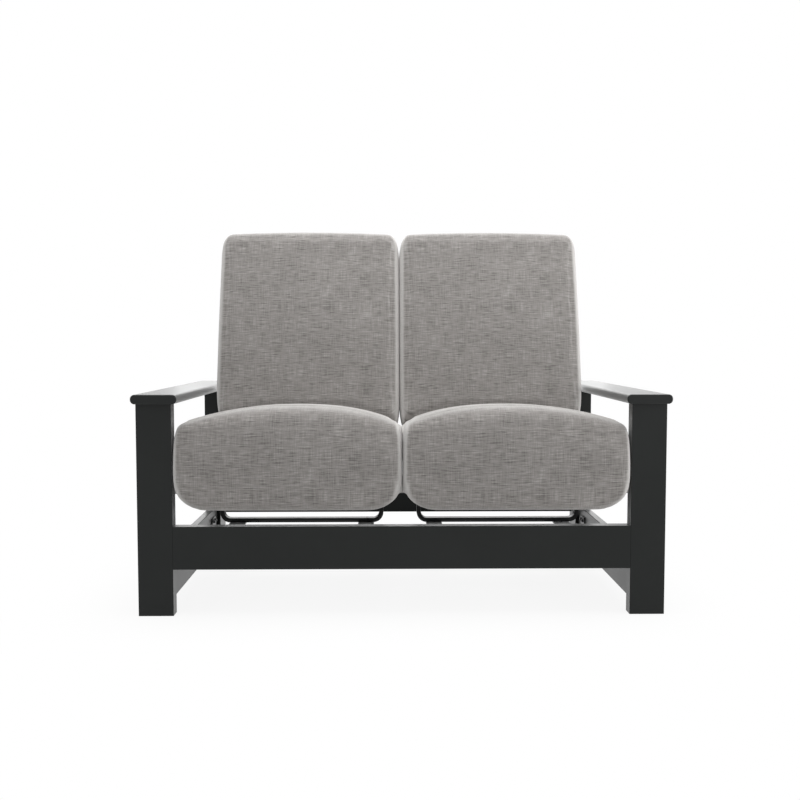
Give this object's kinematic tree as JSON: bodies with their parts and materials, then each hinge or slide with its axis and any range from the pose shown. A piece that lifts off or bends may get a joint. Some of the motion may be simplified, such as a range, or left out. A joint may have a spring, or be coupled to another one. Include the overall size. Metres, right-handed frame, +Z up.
{
  "type": "patio loveseat",
  "caption": "Patio loveseat: a flat-board frame with wide arms carries cushioned seats that each rock on C-shaped leaf springs under a U-shaped hoop.",
  "frame": {"origin": "on the floor, under the middle of the bounding box", "axes": "+X along the length of the seat, -Y to the front where a sitter faces, +Z up"},
  "size_m": [1.355, 0.877, 1.0356],
  "materials": {
    "board": "satin charcoal marine-grade board with eased edges",
    "black_steel": "semi-gloss black powder coat on spring steel and bar",
    "bucket_tube": "charcoal powder coat on square steel tube",
    "fasteners": "black coated bolts and nuts",
    "cap_plastic": "black moulded plastic",
    "sling": "charcoal woven mesh sling",
    "cushion_fabric": "heathered warm grey woven upholstery with fine horizontal slubs"
  },
  "bodies": {
    "frame": {"left_front_leg": "board", "right_front_leg": "board", "left_back_leg": "board", "right_back_leg": "board", "left_arm": "board", "right_arm": "board", "front_rail": "board", "back_rail": "board", "left_side_rail": "board", "right_side_rail": "board", "left_corner_block": "board", "right_corner_block": "board", "front_base_bar": "black_steel", "rear_base_bar": "black_steel", "left_front_bar_plate": "black_steel", "left_rear_bar_plate": "black_steel", "right_front_bar_plate": "black_steel", "right_rear_bar_plate": "black_steel", "left_plate_bolts": "fasteners", "right_plate_bolts": "fasteners", "left_leg_bolts": "fasteners", "right_leg_bolts": "fasteners", "left_base_bolts": "fasteners", "right_base_bolts": "fasteners", "left_outer_spring": "black_steel", "left_inner_spring": "black_steel", "right_outer_spring": "black_steel", "right_inner_spring": "black_steel"},
    "left_seat": {"left_hoop": "black_steel", "left_hoop_bolts": "fasteners", "left_rail_bolts": "fasteners", "left_outer_bucket_rail": "bucket_tube", "left_inner_bucket_rail": "bucket_tube", "left_front_tube": "bucket_tube", "left_rear_tube": "bucket_tube", "left_top_tube": "bucket_tube", "left_tube_caps": "cap_plastic", "left_seat_sling": "sling", "left_back_sling": "sling", "left_seat_cushion": "cushion_fabric", "left_back_cushion": "cushion_fabric"},
    "right_seat": {"right_hoop": "black_steel", "right_hoop_bolts": "fasteners", "right_rail_bolts": "fasteners", "right_outer_bucket_rail": "bucket_tube", "right_inner_bucket_rail": "bucket_tube", "right_front_tube": "bucket_tube", "right_rear_tube": "bucket_tube", "right_top_tube": "bucket_tube", "right_tube_caps": "cap_plastic", "right_seat_sling": "sling", "right_back_sling": "sling", "right_seat_cushion": "cushion_fabric", "right_back_cushion": "cushion_fabric"}
  },
  "joints": [
    {"name": "left_rock", "type": "hinge", "parent": "frame", "child": "left_seat", "pos_m": [-0.29, -0.121, 0.1235], "axis": [-1, 0, 0], "range_deg": [-5, 10], "stiffness_Nm_per_rad": 700, "springref_deg": -2.35, "deforming": ["left_outer_spring", "left_inner_spring"]},
    {"name": "right_rock", "type": "hinge", "parent": "frame", "child": "right_seat", "pos_m": [0.29, -0.121, 0.1235], "axis": [-1, 0, 0], "range_deg": [-5, 10], "stiffness_Nm_per_rad": 700, "springref_deg": -2.35, "deforming": ["right_outer_spring", "right_inner_spring"]}
  ]
}
